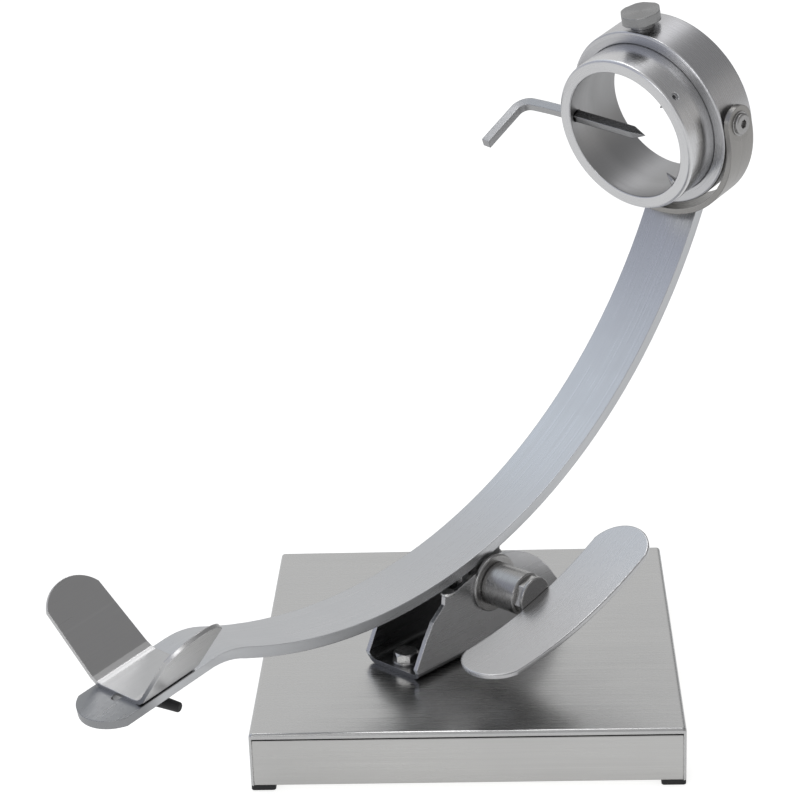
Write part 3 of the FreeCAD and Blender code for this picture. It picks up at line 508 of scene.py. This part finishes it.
def fork_edge_path(sign):
    """Through the bar's thickness, down one edge."""
    side, start, depth, steps = sign * 24.0, 0.6, 11.6, 12
    up, shift = fork_joint(side)
    return [ring_point(side, up - 0.6, start - shift - depth * i / steps)
            for i in range(steps + 1)]


def lug_path(sign):
    """Along the arm's arc, on one side of the lug plates."""
    start, length, steps = -21.0, 45.0, 20
    path = []
    for i in range(steps + 1):
        along = start + length * i / steps
        height = ARC_HEIGHT - math.sqrt(ARC_RADIUS ** 2 - (along - ARC_ALONG) ** 2)
        path.append(arm_point(along, sign * 18.3, height - 0.3))
    return path


weld("weld_fork_inner", fork_face_path(axial=0.3), radius=0.0021)
weld("weld_fork_outer", fork_face_path(axial=-10.9), radius=0.0024)
for sign, end in ((-1, "far"), (1, "near")):
    weld("weld_fork_" + end, fork_edge_path(sign), radius=0.0026)
    weld("weld_lug_" + end, lug_path(sign), radius=0.0018)


# ---------------------------------------------------------------- lights
def area_light(name, place, size, power, colour=(1, 1, 1)):
    """A rectangular light aimed at the middle of the stand."""
    target = Vector((0.0, 0.0, 0.2))
    data = bpy.data.lights.new(name, "AREA")
    data.shape = "RECTANGLE"
    data.size, data.size_y = size
    data.energy = power
    data.color = colour
    light = bpy.data.objects.new(name, data)
    scene.collection.objects.link(light)
    light.location = place
    light.rotation_euler = (target - Vector(place)).to_track_quat("-Z", "Y").to_euler()


area_light("key", (-1.15, 0.55, 1.65), size=(1.1, 1.1), power=0.3, colour=(0.95, 0.98, 1.0))
area_light("front", (-0.9, -1.9, 1.1), size=(0.9, 0.9), power=4.6)
area_light("top", (-0.1, 0.5, 2.0), size=(0.35, 1.2), power=3.6)

# ---------------------------------------------------------------- world
# position up the sky, grey level, between the two ends
SKY_LEVELS = ((0.12, 0.66), (0.42, 0.75), (0.62, 0.70), (0.80, 0.66))
# direction, cosine span, greatest share, colour
SKY_PATCHES = (
    ((0.98, -0.18, 0.08), (0.86, 0.97), 0.75, (0.52, 0.51, 0.50, 1)),       # card, low right
    ((-0.15, -0.98, 0.1), (0.55, 0.95), 0.7, (0.30, 0.30, 0.31, 1)),        # behind the camera
    ((-0.96, -0.1, 0.25), (0.45, 0.95), 1.0, (0.46, 0.48, 0.56, 1)),        # cool left side
    ((-0.56, 0.36, 0.745), (0.90, 0.995), 1.0, (0.76, 0.82, 0.90, 1)),      # window, upper left
    ((0.0, 0.46, 0.888), (0.95, 0.995), 1.0, (1.15, 1.15, 1.18, 1)),        # overhead, far side
)


def build_world():
    """A grey studio for reflections; the camera itself sees white."""
    world = bpy.data.worlds.new("studio")
    scene.world = world
    g = Shader(world, output="ShaderNodeOutputWorld")
    direction = g.vector("NORMALIZE", g.node("ShaderNodeTexCoord").outputs["Generated"])
    parts = g.fill("ShaderNodeSeparateXYZ", {0: direction}).outputs
    sky = g.fill("ShaderNodeValToRGB", {0: g.ramp(parts["Z"], span=(-0.2, 1.0))})
    stops = sky.color_ramp.elements
    stops[0].position = 0.0
    stops[0].color = grey(0.62)
    stops[1].position = 1.0
    stops[1].color = (0.52, 0.52, 0.53, 1)
    for position, level in SKY_LEVELS:
        stops.new(position).color = grey(level)
    # the right side of the studio is dark
    colour = g.mix(g.ramp(parts["X"], span=(0.12, 0.50)), sky.outputs[0],
                   (0.27, 0.27, 0.275, 1))
    for towards, span, share, patch in SKY_PATCHES:
        colour = g.mix(g.ramp(g.dot(direction, towards), span, out=(0.0, share)), colour, patch)
    studio = g.fill("ShaderNodeBackground", {0: colour, 1: 1.0})
    white = g.fill("ShaderNodeBackground", {0: grey(1)})
    camera_ray = g.node("ShaderNodeLightPath").outputs["Is Camera Ray"]
    g.surface(g.fill("ShaderNodeMixShader",
                     {0: camera_ray, 1: studio.outputs[0], 2: white.outputs[0]}))


build_world()


# ---------------------------------------------------------------- floor
def build_floor():
    """A pale floor that glows more strongly to the camera than to the stand."""
    half = 8.0
    mesh = bpy.data.meshes.new("floor")
    mesh.from_pydata([(-half, -half, 0), (half, -half, 0), (half, half, 0), (-half, half, 0)],
                     [], [(0, 1, 2, 3)])
    floor = bpy.data.objects.new("floor", mesh)
    scene.collection.objects.link(floor)
    floor.location = (0, 0, -0.0002)    # just clear of the feet
    g = Shader(bpy.data.materials.new("floor_pale"))
    diffuse = g.fill("ShaderNodeBsdfDiffuse", {0: grey(0.55)})
    camera_ray = g.node("ShaderNodeLightPath").outputs["Is Camera Ray"]
    strength = g.ramp(camera_ray, span=(0.0, 1.0), out=(0.42, 0.80))
    glow = g.fill("ShaderNodeEmission", {0: (1, 1, 0.99, 1), 1: strength})
    g.surface(g.fill("ShaderNodeAddShader", {0: diffuse.outputs[0], 1: glow.outputs[0]}))
    mesh.materials.append(g.owner)


build_floor()


# ---------------------------------------------------------------- camera
def build_camera():
    """In front of the stand, looking back (+Y) and down."""
    place = (0.035, -1.680, 0.875)
    yaw, pitch, roll = math.radians(-2.7), math.radians(20.98), math.radians(-2.11)
    forward = Vector((math.sin(yaw) * math.cos(pitch), math.cos(yaw) * math.cos(pitch),
                      -math.sin(pitch)))
    level = Vector((math.cos(yaw), -math.sin(yaw), 0.0))
    upright = level.cross(forward)
    right = level * math.cos(roll) + upright * math.sin(roll)
    up = -level * math.sin(roll) + upright * math.cos(roll)
    data = bpy.data.cameras.new("cam")
    data.sensor_width = 36.0
    data.lens = 113.715
    data.clip_start = 0.05
    data.clip_end = 60.0
    camera = bpy.data.objects.new("cam", data)
    scene.collection.objects.link(camera)
    rows = [(right[i], up[i], -forward[i], place[i]) for i in range(3)]
    camera.matrix_world = Matrix((*rows, (0, 0, 0, 1)))
    scene.camera = camera


build_camera()
scene.view_settings.view_transform = "Standard"
scene.view_settings.look = "None"
